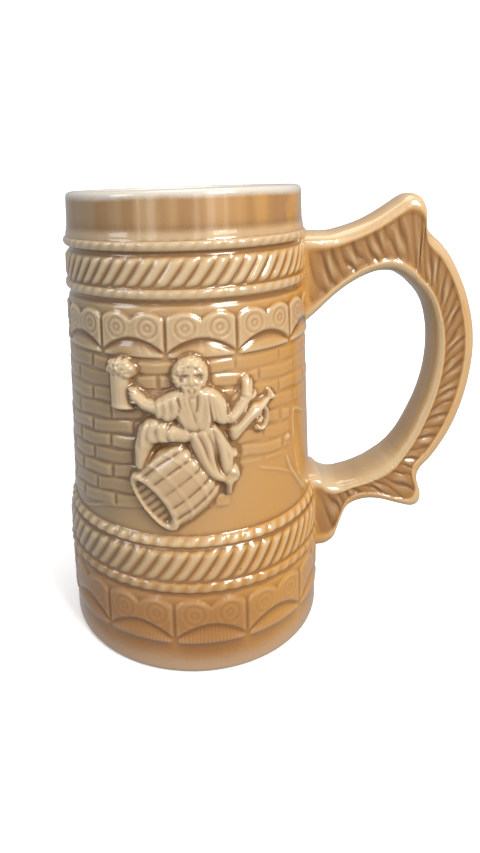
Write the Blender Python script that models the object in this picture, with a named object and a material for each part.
"""A relief-moulded, glazed beer stein, cast in one with its big handle.

Metres, +Z up. The body's axis is Z, it stands on z = 0, and the handle points to +X.
The wall is drawn as an unrolled sheet of (angle in degrees, height, rise) and then bent
round the axis. Angle 0 faces -Y and positive angles turn towards +X.
"""

import math

import bmesh
import bpy
from mathutils import Vector
from mathutils.geometry import delaunay_2d_cdt

# Body
FOOT_RADIUS = 0.0442
LOWER_RADIUS = 0.0448
UPPER_RADIUS = 0.0433
WALL = 0.0045
FLOOR = 0.0060
FOOT_ROUND = 0.0018
LIP_ROUND = 0.0018

# Heights of the bands, from the foot up
FOOT_BAND = 0.0100
FRIEZE_BAND = 0.0155
FRIEZE_GROOVE = 0.0008
ROPE_BAND = 0.0034
LOWER_GADROON_BAND = 0.0103
LOWER_GROOVE = 0.0006
FIELD_BAND = 0.0561
UPPER_GROOVE = 0.0027
UPPER_GADROON_BAND = 0.0099
COLLAR_GROOVE = 0.0015
COLLAR_BAND = 0.0159

# How far the carving stands out
ROPE_RISE = 0.0011
GADROON_RISE = 0.0009
PANEL_RISE = 0.0010
BRICK_RISE = 0.0006
LINE_RISE = 0.0006
GROOVE_DEPTH = 0.0004
LINE_WIDTH = 0.0015

# Numbers of repeats round the body
SIDES = 60
INSIDE_SIDES = 40
UPPER_GADROONS = 56
LOWER_GADROONS = 60
PANELS = 12
BRICKS = 16
COURSES = 10

# Pattern sizes
GADROON_SLANT = math.radians(34.8)
JOINT_TURN = 9.0
PANEL_TURN = -9.5
LOWER_CREST_ANGLE = 3.4
UPPER_CREST_ANGLE = -0.15
ROSETTE_RADIUS = 0.0034
ROSETTE_SIDES = 6
ARCH_RISE = 0.0050
MORTAR = 0.0009
COLLAR_FLARE = 0.0040
WELD = 0.000003

# Figure and handle
FIGURE_HEIGHT = 0.0550
FIGURE_GAP = 0.0030
HANDLE_REACH = 0.0628
HANDLE_WIDTH = 0.0142
ROOT_WIDTH = 0.0205
HANDLE_CROWN = 0.0042
LEAF_DEPTH = 0.0007
SMOOTH_ANGLE = math.radians(32)

FRIEZE_1 = FOOT_BAND
ROPE_1 = FRIEZE_1 + FRIEZE_BAND + FRIEZE_GROOVE
GADROON_1 = ROPE_1 + ROPE_BAND
GROOVE_1 = GADROON_1 + LOWER_GADROON_BAND
ROPE_2 = GROOVE_1 + LOWER_GROOVE
FIELD = ROPE_2 + ROPE_BAND
FRIEZE_2 = FIELD + FIELD_BAND
GROOVE_2 = FRIEZE_2 + FRIEZE_BAND
ROPE_3 = GROOVE_2 + UPPER_GROOVE
GADROON_2 = ROPE_3 + ROPE_BAND
GROOVE_3 = GADROON_2 + UPPER_GADROON_BAND
ROPE_4 = GROOVE_3 + COLLAR_GROOVE
COLLAR = ROPE_4 + ROPE_BAND
FIGURE_FOOT = FIELD + FIGURE_GAP
HEIGHT = COLLAR + COLLAR_BAND

# Forms of the bands, as shares of their own sizes
BEAD_DIP = 0.5
BEAD_LEAN = 0.22
RIDGE_ENDS = (0.1, 0.9)
SCALLOP_VALLEY = 0.78
SCALLOP_LOBE = 0.165
SCALLOP_DIP = 0.12
LOBE_POINTS = 6
PANEL_EDGE = 0.03
ARCH_SPRING = 0.07
ARCH_RECESS = 0.045
LUNETTE_LIP = 0.03
LUNETTE_POINTS = (0.22, 0.5, 0.78)
ROSETTE_PLACES = (0.275, 0.755)
ROSETTE_LEVEL = 0.62

# The wall behind the figure: angles in degrees, heights as shares of the field
DOOR_ANGLE = 50.0
DOOR_POST = ((DOOR_ANGLE, 0.40), (DOOR_ANGLE, 0.50), (DOOR_ANGLE, 0.62))
DOOR_LINTEL = ((53.0, 0.645), (62.0, 0.60), (71.0, 0.55))
SILL_SWEEP = ((48.0, 0.36), (49.5, 0.25), (54.0, 0.15), (60.0, 0.06), (66.0, 0.02))
FIGURE_HIDES = ((-34.0, 18.0, 0.535), (-24.0, 24.0, 0.82))
BRICKS_FROM = -125.0
BRICKS_TO = 80.0
DOOR_HEAD = 0.0345
FLOOR_LINE = 0.0085
FLOOR_LINE_RIGHT = 0.0200
FIELD_MARGIN = 0.0006
COURSE_SLOPE_LEFT = ((-180, 0.0), (-120, 0.0), (-75, -0.0062), (-12, 0.0), (180, 0.0))
COURSE_SLOPE_RIGHT = ((-180, 0.0), (25, 0.0), (75, -0.0040), (120, 0.0), (180, 0.0))
COURSE_LEVELLING = 0.45

BODY_PROFILE = (
    (0.0, FOOT_RADIUS),
    (ROPE_1, LOWER_RADIUS),
    (GROOVE_1, LOWER_RADIUS),
    (FIELD, UPPER_RADIUS),
    (HEIGHT, UPPER_RADIUS),
)


def blend(table, at):
    """Reads a table of (place, value) at a place, straight between its rows."""
    for (low, a), (high, b) in zip(table, table[1:]):
        if at <= high:
            return a + (b - a) * max(0.0, at - low) / (high - low)
    return table[-1][1]


def body_radius(z):
    return blend(BODY_PROFILE, z)


def on_wall(angle, z, rise):
    """Bends a point of the unrolled sheet round the body."""
    turn = math.radians(angle)
    radius = body_radius(z) + rise
    return Vector((radius * math.sin(turn), -radius * math.cos(turn), z))


def flat_place(angle, z):
    return Vector((math.radians(angle) * UPPER_RADIUS, z))


def fill_cell(mesh, outline, lines, count=1, first=0.0):
    """Triangulates one cell of the sheet along its lines and repeats it round the body."""
    points = list(outline)
    edges = [(i, (i + 1) % len(outline)) for i in range(len(outline))]
    for line, closed in lines:
        start = len(points)
        points += line
        steps = len(line) if closed else len(line) - 1
        edges += [(start + i, start + (i + 1) % len(line)) for i in range(steps)]
    flat = [flat_place(angle, z) for angle, z, _ in points]
    found = delaunay_2d_cdt(flat, edges, [list(range(len(outline)))], 1, 1e-7)
    places, _, faces, sources = found[:4]
    rises = [points[source[0]][2] if source else None for source in sources]
    for face in faces:
        known = [rises[i] for i in face if rises[i] is not None]
        for i in face:
            if rises[i] is None:
                rises[i] = sum(known) / max(1, len(known))
    for copy in range(count):
        turn = first + 360.0 * copy / count
        corners = [
            mesh.verts.new(on_wall(math.degrees(p.x / UPPER_RADIUS) + turn, p.y, rise))
            for p, rise in zip(places, rises)
        ]
        for face in faces:
            mesh.faces.new([corners[i] for i in face])


def level(count, span, z, first=0.0, rise=0.0):
    """Points at one height, evenly spaced from the angle first over a span."""
    return [(first + span * i / count, z, rise) for i in range(count + 1)]


def nearest_turn(angle, step, target):
    """The same set of evenly spaced points, named by its point nearest to the target."""
    return angle + step * round((target - angle) / step)


def strip(mesh, low, high, rises=(0.0, 0.0)):
    """A smooth strip between two rings, each (height, number of points, first angle)."""
    cells = math.gcd(low[1], high[1])
    first = nearest_turn(high[2], 360.0 / high[1], low[2])
    bottom = level(low[1] // cells, 360.0 / cells, low[0], low[2], rises[0])
    top = level(high[1] // cells, 360.0 / cells, high[0], first, rises[1])
    fill_cell(mesh, bottom + top[::-1], [], cells)


def groove(mesh, low, high, depth):
    """A V-shaped groove between two rings."""
    middle = ((low[0] + high[0]) / 2, high[1], high[2])
    strip(mesh, low, middle, (0.0, -depth))
    strip(mesh, middle, high, (-depth, 0.0))


def rope(mesh, low, count, first):
    """A moulded rope: one raised bead after another, with a dip between them."""
    step = 360.0 / count
    high = low + ROPE_BAND
    dip = ROPE_RISE * BEAD_DIP
    lean = step * BEAD_LEAN
    waist = low + ROPE_BAND / 2
    outline = [(first, low, 0), (first + step, low, 0), (first + step + lean, waist, dip)]
    outline += [(first + step, high, 0), (first, high, 0), (first + lean, waist, dip)]
    crest = [(first + step * 0.5 + lean, waist, ROPE_RISE)]
    fill_cell(mesh, outline, [(crest, False)], count)


def gadroon_lean(band):
    """How many degrees a ridge leans to the right over the height of its band."""
    return math.degrees(band * math.tan(GADROON_SLANT) / UPPER_RADIUS)


def gadroon_first(band, count, crest_angle):
    """The angle where a band's first ridge starts, at the band's lower edge."""
    return crest_angle - 180.0 / count - gadroon_lean(band) / 2


def gadroons(mesh, low, band, count, first):
    """Slanted rounded ridges with their tops leaning to the right."""
    step = 360.0 / count
    lean = gadroon_lean(band)
    high = low + band
    middle = first + step / 2
    outline = [(first, low, 0), (first + step, low, 0)]
    outline += [(first + step + lean, high, 0), (first + lean, high, 0)]
    crest = [(middle + lean * share, low + band * share, GADROON_RISE) for share in RIDGE_ENDS]
    fill_cell(mesh, outline, [(crest, False)], count)


def ring_line(angle, z, radius, sides, rise):
    """A round line on the sheet."""
    line = []
    for i in range(sides):
        turn = 2 * math.pi * i / sides
        across = math.degrees(radius * math.cos(turn) / UPPER_RADIUS)
        line.append((angle + across, z + radius * math.sin(turn), rise))
    return line


def frieze(mesh, low):
    """A row of panels: scalloped top edge, two rosettes, and an arch over a lunette."""
    span = 360.0 / PANELS
    high = low + FRIEZE_BAND
    valley = low + FRIEZE_BAND * SCALLOP_VALLEY
    spring = low + FRIEZE_BAND * ARCH_SPRING
    lobe = FRIEZE_BAND * SCALLOP_LOBE
    edge = span * PANEL_EDGE
    inner = span - 2 * edge
    waves = [abs(math.sin(2 * math.pi * i / LOBE_POINTS)) for i in range(LOBE_POINTS + 1)]
    waves[LOBE_POINTS // 2] = SCALLOP_DIP
    lobes = [(edge + inner * i / LOBE_POINTS, valley + lobe * wave) for i, wave in enumerate(waves)]
    shares = [i / LOBE_POINTS for i in range(1, LOBE_POINTS)]
    arch = [(edge + inner * share, spring + ARCH_RISE * (1 - (2 * share - 1) ** 2)) for share in shares]
    low_rise = PANEL_RISE * 0.9
    panel = [(edge, spring, low_rise)] + [(angle, z, PANEL_RISE) for angle, z in arch]
    panel += [(span - edge, spring, low_rise)] + [(angle, z, PANEL_RISE) for angle, z in lobes[::-1]]
    under = [(angle, z - FRIEZE_BAND * ARCH_RECESS, 0.0) for angle, z in arch]
    lip = [(span * share, low + FRIEZE_BAND * LUNETTE_LIP, low_rise) for share in LUNETTE_POINTS]
    lines = [(panel, True), (under, False), (lip, False)]
    for share in ROSETTE_PLACES:
        angle, z = span * share, low + FRIEZE_BAND * ROSETTE_LEVEL
        lines.append((ring_line(angle, z, ROSETTE_RADIUS, ROSETTE_SIDES, PANEL_RISE), True))
        hollow = ring_line(angle, z, ROSETTE_RADIUS * 0.68, ROSETTE_SIDES, PANEL_RISE * 0.35)
        lines.append((hollow, True))
        lines.append(([(angle, z, PANEL_RISE * 1.1)], False))
    steps = SIDES // PANELS
    outline = level(steps, span, low) + [(span, spring, 0.0), (span, valley, 0.0)]
    outline += level(steps, span, high)[::-1] + [(0.0, valley, 0.0), (0.0, spring, 0.0)]
    fill_cell(mesh, outline, lines, PANELS, PANEL_TURN)


def course_height(share, angle):
    """Height of a mortar line over the field's bottom: lower courses drop off to both sides."""
    tilt = 1.0 - COURSE_LEVELLING * share
    drop = (blend(COURSE_SLOPE_LEFT, angle) + blend(COURSE_SLOPE_RIGHT, angle)) * tilt
    courses = FIELD_BAND - FLOOR_LINE - FIELD_MARGIN
    return FIELD + FLOOR_LINE + courses * share + drop * min(1.0, (1.0 - share) * 2.5)


def brick_shows(left, right, bottom):
    """False behind the figure, in the doorway, on the floor and on the plain back."""
    height = bottom - FIELD
    if any(left > start and right < end and height < top * FIELD_BAND for start, end, top in FIGURE_HIDES):
        return False
    if right > 14 and left < DOOR_ANGLE - 1 and height < FLOOR_LINE_RIGHT:
        return False
    if right > DOOR_ANGLE - 3 and height < DOOR_HEAD:
        return False
    return left > BRICKS_FROM and right < BRICKS_TO


def brick_lines():
    """Each brick's outline at the bottom of the mortar, and the outline of its face."""
    lines = []
    length = 360.0 / BRICKS
    inset = math.degrees(MORTAR / UPPER_RADIUS)
    for course in range(COURSES):
        low, high = course / COURSES, (course + 1) / COURSES
        for brick in range(BRICKS):
            left = -180.0 + length * (brick + 0.5 * (course % 2)) + JOINT_TURN
            middle, right = left + length / 2, left + length
            if right > 180.0 - inset or not brick_shows(left, right, course_height(low, middle)):
                continue
            for gap, rise in ((0.0, 0.0), (1.0, BRICK_RISE)):
                ends = (left + inset * gap, middle, right - inset * gap)
                line = [(a, course_height(low, a) + MORTAR * gap, rise) for a in ends]
                line += [(a, course_height(high, a) - MORTAR * gap, rise) for a in ends[::-1]]
                lines.append((line, True))
    return lines


def support_points(taken):
    """Points that keep the bare stretches of the wall round, clear of the carved lines."""
    rows, columns = 4, 48
    clear = 360.0 / columns * 0.8
    points = []
    for row in range(1, rows + 1):
        z = FIELD + FIELD_BAND * row / (rows + 1)
        for column in range(columns):
            angle = -180.0 + 360.0 * (column + 0.5) / columns
            near = any(
                min(p[0] for p in line) - clear < angle < max(p[0] for p in line) + clear
                and min(p[1] for p in line) - MORTAR < z < max(p[1] for p in line) + MORTAR
                for line, _ in taken
            )
            behind_figure = -24 < angle < 15 and row < rows
            if not near and not behind_figure:
                points.append(([(angle, z, 0.0)], False))
    return points


def ridge_lines(path, width, rise):
    """Three lines that make a raised or cut line along a path on the sheet."""
    lines = []
    for offset, height in ((-0.5, 0.0), (0.0, rise), (0.5, 0.0)):
        line = []
        for i, (angle, z) in enumerate(path):
            a, b = path[max(i - 1, 0)], path[min(i + 1, len(path) - 1)]
            along = flat_place(*b) - flat_place(*a)
            side = Vector((-along.y, along.x)).normalized() * width * offset
            tip = height if 0 < i < len(path) - 1 else 0.0
            line.append((angle + math.degrees(side.x / UPPER_RADIUS), z + side.y, tip))
        lines.append((line, False))
    return lines


def brick_field(mesh, first_low):
    """The wall behind the figure, with its doorway at the right."""
    low, high = FIELD, FRIEZE_2
    first = nearest_turn(first_low, 360.0 / SIDES, -180.0)
    bottom = level(SIDES, 360.0, low, first)
    top = level(SIDES, 360.0, high, nearest_turn(PANEL_TURN, 360.0 / SIDES, -180.0))
    outline = bottom + top[::-1]
    lines = brick_lines()
    for shares, rise in ((DOOR_POST, -LINE_RISE), (DOOR_LINTEL, -LINE_RISE), (SILL_SWEEP, LINE_RISE)):
        path = [(angle, FIELD + share * FIELD_BAND) for angle, share in shares]
        lines += ridge_lines(path, LINE_WIDTH, rise)
    lines += support_points(lines)
    fill_cell(mesh, outline, lines)


def ring(mesh, radius, z, sides, first):
    turns = [math.radians(first + 360.0 * i / sides) for i in range(sides)]
    return [mesh.verts.new((radius * math.sin(t), -radius * math.cos(t), z)) for t in turns]


def join_rings(mesh, low, high):
    """Faces between two rings that look out from the axis when low is the lower one."""
    for i in range(len(low)):
        j = (i + 1) % len(low)
        mesh.faces.new((low[i], low[j], high[j], high[i]))


def lathe(mesh, profile, sides, first=0.0):
    """Turns a profile that runs up the outer side, or down the inner side."""
    rings = [ring(mesh, radius, z, sides, first) for radius, z in profile]
    for low, high in zip(rings, rings[1:]):
        join_rings(mesh, low, high)
    return rings


def quarter(centre_r, centre_z, radius_r, radius_z, start, end, steps):
    """Points along a rounded edge, from one angle to another in degrees."""
    points = []
    for i in range(steps + 1):
        turn = math.radians(start + (end - start) * i / steps)
        points.append((centre_r + radius_r * math.cos(turn), centre_z + radius_z * math.sin(turn)))
    return points


def foot_and_lip(mesh):
    """The plain parts: flat base, rounded foot, collar, lip, inside wall and inside floor."""
    foot_middle = body_radius(FOOT_ROUND) - FOOT_ROUND
    foot = quarter(foot_middle, FOOT_ROUND, FOOT_ROUND, FOOT_ROUND, -90, 0, 2)
    rings = lathe(mesh, foot + [(body_radius(FOOT_BAND), FOOT_BAND)], SIDES, PANEL_TURN)
    mesh.faces.new(rings[0][::-1])
    inside = UPPER_RADIUS - WALL
    lip_middle = (UPPER_RADIUS + inside) / 2
    lip = quarter(lip_middle, HEIGHT - LIP_ROUND, WALL / 2, LIP_ROUND, 0, 180, 4)
    low_inside = LOWER_RADIUS - WALL
    start = COLLAR + COLLAR_FLARE
    profile = [(body_radius(start), start)] + lip
    profile += [(inside, FIELD), (low_inside, GROOVE_1)]
    floor_round = FLOOR * 0.6
    centre = (low_inside - floor_round, FLOOR + floor_round)
    profile += quarter(*centre, floor_round, floor_round, 0, -90, 1)
    rings = lathe(mesh, profile, INSIDE_SIDES)
    mesh.faces.new(rings[-1])


def body_mesh():
    """The whole body as one closed skin."""
    mesh = bmesh.new()
    foot_and_lip(mesh)
    frieze(mesh, FRIEZE_1)
    lower = gadroon_first(LOWER_GADROON_BAND, LOWER_GADROONS, LOWER_CREST_ANGLE)
    lower_top = lower + gadroon_lean(LOWER_GADROON_BAND)
    upper = gadroon_first(UPPER_GADROON_BAND, UPPER_GADROONS, UPPER_CREST_ANGLE)
    upper_top = upper + gadroon_lean(UPPER_GADROON_BAND)
    strip(mesh, (FRIEZE_1 + FRIEZE_BAND, SIDES, PANEL_TURN), (ROPE_1, LOWER_GADROONS, lower))
    rope(mesh, ROPE_1, LOWER_GADROONS, lower)
    gadroons(mesh, GADROON_1, LOWER_GADROON_BAND, LOWER_GADROONS, lower)
    strip(mesh, (GROOVE_1, LOWER_GADROONS, lower_top), (ROPE_2, SIDES, lower_top))
    rope(mesh, ROPE_2, SIDES, lower_top)
    brick_field(mesh, lower_top)
    frieze(mesh, FRIEZE_2)
    groove(mesh, (GROOVE_2, SIDES, PANEL_TURN), (ROPE_3, UPPER_GADROONS, upper), GROOVE_DEPTH)
    rope(mesh, ROPE_3, UPPER_GADROONS, upper)
    gadroons(mesh, GADROON_2, UPPER_GADROON_BAND, UPPER_GADROONS, upper)
    strip(mesh, (GROOVE_3, UPPER_GADROONS, upper_top), (ROPE_4, UPPER_GADROONS, upper_top))
    rope(mesh, ROPE_4, UPPER_GADROONS, upper_top)
    strip(mesh, (COLLAR, UPPER_GADROONS, upper_top), (COLLAR + COLLAR_FLARE, INSIDE_SIDES, 0.0))
    bmesh.ops.remove_doubles(mesh, verts=mesh.verts, dist=WELD)
    bmesh.ops.triangulate(mesh, faces=mesh.faces)
    bmesh.ops.recalc_face_normals(mesh, faces=mesh.faces)
    return mesh


# Handle: inside point, outside point and width at each station from the upper root to the
# lower one. Across is a share of the reach beyond the wall, up a share of the height, and
# the width goes from that of the grip at 0 to that of the roots at 1.
HANDLE_STATIONS = (
    (0.046, 0.683, 0.046, 0.884, 1.00),
    (0.143, 0.718, 0.153, 0.883, 0.86),
    (0.240, 0.747, 0.240, 0.890, 0.68),
    (0.337, 0.768, 0.347, 0.904, 0.50),
    (0.424, 0.780, 0.440, 0.922, 0.41),
    (0.501, 0.781, 0.537, 0.946, 0.32),
    (0.550, 0.775, 0.602, 0.963, 0.27),
    (0.578, 0.768, 0.650, 0.968, 0.23),
    (0.606, 0.760, 0.695, 0.961, 0.18),
    (0.628, 0.752, 0.724, 0.940, 0.14),
    (0.650, 0.742, 0.722, 0.905, 0.14),
    (0.675, 0.731, 0.744, 0.876, 0.09),
    (0.705, 0.713, 0.828, 0.840, 0.05),
    (0.732, 0.687, 0.895, 0.795, 0.00),
    (0.749, 0.650, 0.958, 0.728, 0.00),
    (0.753, 0.612, 0.993, 0.660, 0.00),
    (0.744, 0.570, 1.000, 0.600, 0.00),
    (0.718, 0.522, 0.973, 0.531, 0.00),
    (0.674, 0.472, 0.916, 0.457, 0.05),
    (0.618, 0.426, 0.833, 0.388, 0.14),
    (0.553, 0.381, 0.726, 0.328, 0.27),
    (0.497, 0.352, 0.641, 0.294, 0.41),
    (0.467, 0.340, 0.617, 0.268, 0.50),
    (0.441, 0.331, 0.634, 0.234, 0.55),
    (0.415, 0.324, 0.619, 0.211, 0.59),
    (0.390, 0.317, 0.574, 0.203, 0.64),
    (0.344, 0.306, 0.491, 0.211, 0.68),
    (0.288, 0.296, 0.386, 0.223, 0.73),
    (0.233, 0.287, 0.286, 0.224, 0.77),
    (0.177, 0.282, 0.186, 0.208, 0.82),
    (0.132, 0.280, 0.136, 0.170, 0.86),
    (0.097, 0.282, 0.101, 0.136, 0.91),
    (0.058, 0.289, 0.061, 0.122, 0.95),
    (0.024, 0.301, 0.021, 0.118, 1.00),
)
HANDLE_LEVEL = 0.60


def handle_wall(share):
    """The wall's radius that the handle is measured from. It steps out towards the foot."""
    return blend(((GROOVE_1 / HEIGHT, LOWER_RADIUS), (HANDLE_LEVEL, UPPER_RADIUS)), share)


def handle_sections():
    """Closed outlines across the handle, from the upper root to the lower one."""
    root = WALL * 0.6
    stations = []
    for x_in, z_in, x_out, z_out, width in HANDLE_STATIONS:
        inner = Vector((handle_wall(z_in) + HANDLE_REACH * x_in, 0, HEIGHT * z_in))
        outer = Vector((handle_wall(z_out) + HANDLE_REACH * x_out, 0, HEIGHT * z_out))
        stations.append((inner, outer, width))
    for end, place in ((0, 0), (-1, len(stations) + 1)):
        inner, outer, width = stations[end]
        sunk = [Vector((body_radius(point.z) - root, 0, point.z)) for point in (inner, outer)]
        stations.insert(place, (*sunk, width))
    sections = []
    for number, (inner, outer, width) in enumerate(stations):
        depth = (outer - inner).length
        half = (HANDLE_WIDTH + (ROOT_WIDTH - HANDLE_WIDTH) * width) / 2
        rounding = min(depth * 0.3, half)
        crown = depth - HANDLE_CROWN
        carved = LEAF_DEPTH if number % 2 else 0.0
        side = [(0.0, 0.0), (0.28 * rounding, 0.72 * half), (rounding, half)]
        side += [(0.55 * (rounding + crown), half - carved), (crown, half)]
        side += [(crown + 0.65 * HANDLE_CROWN, 0.74 * half), (depth, 0.0)]
        along = (outer - inner) / depth
        outline = [inner + along * q + Vector((0, y, 0)) for q, y in side]
        outline += [inner + along * q - Vector((0, y, 0)) for q, y in side[-2:0:-1]]
        sections.append(outline)
    return sections


def handle_mesh():
    mesh = bmesh.new()
    loops = [[mesh.verts.new(point) for point in outline] for outline in handle_sections()]
    count = len(loops[0])
    for a, b in zip(loops, loops[1:]):
        for i in range(count):
            j = (i + 1) % count
            mesh.faces.new((a[i], a[j], b[j], b[i]))
    mesh.faces.new(loops[0][::-1])
    mesh.faces.new(loops[-1])
    bmesh.ops.triangulate(mesh, faces=mesh.faces)
    bmesh.ops.recalc_face_normals(mesh, faces=mesh.faces)
    return mesh


def bend(x, z, rise):
    """A figure point: across and up in shares of its height, rise likewise, round the wall."""
    front = UPPER_RADIUS + max(rise, 0.0) * FIGURE_HEIGHT
    angle = math.degrees(x * FIGURE_HEIGHT / front)
    return on_wall(angle, FIGURE_FOOT + z * FIGURE_HEIGHT, rise * FIGURE_HEIGHT)


def hull(points):
    """A closed convex body round the points."""
    mesh = bmesh.new()
    verts = [mesh.verts.new(bend(*point)) for point in points]
    made = bmesh.ops.convex_hull(mesh, input=verts)
    inside = {item for key in ("geom_interior", "geom_unused") for item in made[key]}
    loose = [item for item in inside if isinstance(item, bmesh.types.BMVert)]
    bmesh.ops.delete(mesh, geom=loose, context="VERTS")
    bmesh.ops.triangulate(mesh, faces=mesh.faces)
    bmesh.ops.recalc_face_normals(mesh, faces=mesh.faces)
    return mesh


def dome(x, z, across, up, rise, tilt=0.0, sides=8):
    """The points of half an egg that stands out of the wall, with its root in the wall."""
    points = [(x, z, rise)]
    turn = math.radians(tilt)
    for number, (size, share) in enumerate(((0.72, 0.74), (1.0, -0.4))):
        for i in range(sides):
            a = 2 * math.pi * (i + 0.5 * number) / sides
            dx, dz = across * size * math.cos(a), up * size * math.sin(a)
            spot_x = x + dx * math.cos(turn) - dz * math.sin(turn)
            spot_z = z + dx * math.sin(turn) + dz * math.cos(turn)
            points.append((spot_x, spot_z, rise * share if share > 0 else ROOT_DEPTH))
    return points


def limb(start, end):
    """The points of a tapered arm or leg: each end is (across, up, radius, rise)."""
    points = []
    for x, z, radius, rise in (start, end):
        points += dome(x, z, radius, radius, rise, sides=6)
    return points


ROOT_DEPTH = -0.022


def figure_hulls():
    """A seated reveller astride a barrel, with a tankard and a stringed instrument."""
    parts = [
        dome(-0.440, 0.920, 0.105, 0.070, 0.075),
        limb((-0.345, 0.790, 0.036, 0.055), (-0.190, 0.712, 0.044, 0.060)),
        limb((-0.185, 0.712, 0.058, 0.070), (-0.040, 0.765, 0.062, 0.078)),
        dome(0.004, 0.895, 0.094, 0.104, 0.095),
        dome(0.010, 0.815, 0.050, 0.058, 0.085),
        limb((-0.015, 0.765, 0.070, 0.070), (0.120, 0.760, 0.075, 0.070)),
        limb((0.060, 0.740, 0.100, 0.075), (0.052, 0.590, 0.070, 0.070)),
        dome(0.160, 0.715, 0.080, 0.082, 0.085, 20),
        limb((0.170, 0.655, 0.055, 0.070), (0.245, 0.600, 0.040, 0.060)),
        limb((0.240, 0.605, 0.042, 0.060), (0.340, 0.745, 0.034, 0.055)),
        limb((0.345, 0.745, 0.034, 0.050), (0.368, 0.815, 0.018, 0.040)),
        limb((0.350, 0.735, 0.022, 0.045), (0.420, 0.735, 0.014, 0.035)),
        limb((0.225, 0.535, 0.048, 0.060), (0.375, 0.625, 0.055, 0.062)),
        limb((0.375, 0.625, 0.052, 0.062), (0.510, 0.668, 0.034, 0.050)),
        dome(0.565, 0.712, 0.036, 0.030, 0.050, 35),
        dome(0.470, 0.585, 0.040, 0.060, 0.045),
        limb((0.140, 0.570, 0.020, 0.045), (0.240, 0.440, 0.024, 0.045)),
        limb((0.050, 0.540, 0.085, 0.075), (0.150, 0.350, 0.065, 0.075)),
        limb((0.150, 0.360, 0.060, 0.070), (0.240, 0.300, 0.046, 0.055)),
        limb((0.205, 0.195, 0.030, 0.045), (0.275, 0.300, 0.030, 0.045)),
        limb((-0.010, 0.545, 0.070, 0.070), (-0.200, 0.580, 0.060, 0.085)),
        limb((-0.250, 0.565, 0.075, 0.085), (-0.300, 0.400, 0.026, 0.045)),
    ]
    return parts


def tankard_points():
    """The straight-sided mug in the figure's raised hand."""
    points = []
    for z, half in ((0.862, 0.080), (0.685, 0.094)):
        for i in range(9):
            a = math.pi * i / 8
            points.append((-0.442 + half * math.cos(a), z, 0.070 * math.sin(a)))
            points.append((-0.442 + half * math.cos(a), z, ROOT_DEPTH))
    return points


BARREL_CENTRE = (-0.247, 0.149)
BARREL_TILT = 42.0
BARREL_RADIUS = 0.198
BARREL_LENGTH = 0.345
HEAD_DEPTH = 0.095


def barrel_place(along, across, rise):
    turn = math.radians(BARREL_TILT)
    x = BARREL_CENTRE[0] + along * math.cos(turn) - across * math.sin(turn)
    z = BARREL_CENTRE[1] + along * math.sin(turn) + across * math.cos(turn)
    return (x, z, rise)


def barrel_points():
    """The barrel's bulging body, with its open head turned to the lower left."""
    points = []
    for i in range(14):
        a = 2 * math.pi * i / 14
        along, across = HEAD_DEPTH * math.cos(a), BARREL_RADIUS * math.sin(a)
        points.append(barrel_place(along, across, 0.060 + 0.035 * math.cos(a)))
        points.append(barrel_place(along, across, ROOT_DEPTH))
    for share, half, rise in ((0.5, 1.03, 0.100), (1.0, 0.90, 0.082)):
        for i in range(7):
            a = math.pi * i / 6
            across = BARREL_RADIUS * half * math.cos(a)
            points.append(barrel_place(BARREL_LENGTH * share, across, rise * math.sin(a)))
            points.append(barrel_place(BARREL_LENGTH * share, across, ROOT_DEPTH))
    return points


def barrel_dish():
    """What is cut out of the barrel's head to leave its raised rim."""
    points = []
    for size, lift in ((0.80, -0.026), (0.84, 0.040)):
        for i in range(14):
            a = 2 * math.pi * i / 14
            along, across = HEAD_DEPTH * size * math.cos(a), BARREL_RADIUS * size * math.sin(a)
            points.append(barrel_place(along, across, 0.060 + 0.035 * math.cos(a) + lift))
    return points


def glaze():
    """Glossy caramel glaze."""
    material = bpy.data.materials.new("tan glaze")
    material.use_nodes = True
    shader = material.node_tree.nodes["Principled BSDF"]
    shader.inputs["Base Color"].default_value = (0.46, 0.27, 0.12, 1.0)
    shader.inputs["Roughness"].default_value = 0.16
    shader.inputs["Metallic"].default_value = 0.0
    return material


def add_object(name, mesh, material, helper=True):
    """Adds a mesh as an object. A helper shapes another object and isn't rendered."""
    data = bpy.data.meshes.new(name)
    mesh.to_mesh(data)
    mesh.free()
    data.shade_smooth()
    data.set_sharp_from_angle(angle=SMOOTH_ANGLE)
    data.materials.append(material)
    made = bpy.data.objects.new(name, data)
    bpy.context.scene.collection.objects.link(made)
    if helper:
        made.hide_render = True
        made.display_type = "WIRE"
    return made


def combine(target, operation, other):
    """Joins another object to the target, or cuts it away."""
    modifier = target.modifiers.new(f"{operation.lower()} {other.name}", "BOOLEAN")
    modifier.operation = operation
    modifier.solver = "EXACT"
    modifier.object = other


def main():
    for item in list(bpy.data.objects):
        bpy.data.objects.remove(item, do_unlink=True)
    material = glaze()
    mug = add_object("mug", body_mesh(), material, helper=False)
    barrel = add_object("barrel", hull(barrel_points()), material)
    combine(barrel, "DIFFERENCE", add_object("barrel dish", hull(barrel_dish()), material))
    shapes = [add_object("handle", handle_mesh(), material), barrel]
    shapes.append(add_object("tankard", hull(tankard_points()), material))
    for number, points in enumerate(figure_hulls(), 1):
        shapes.append(add_object(f"figure {number}", hull(points), material))
    for shape in shapes:
        combine(mug, "UNION", shape)


main()
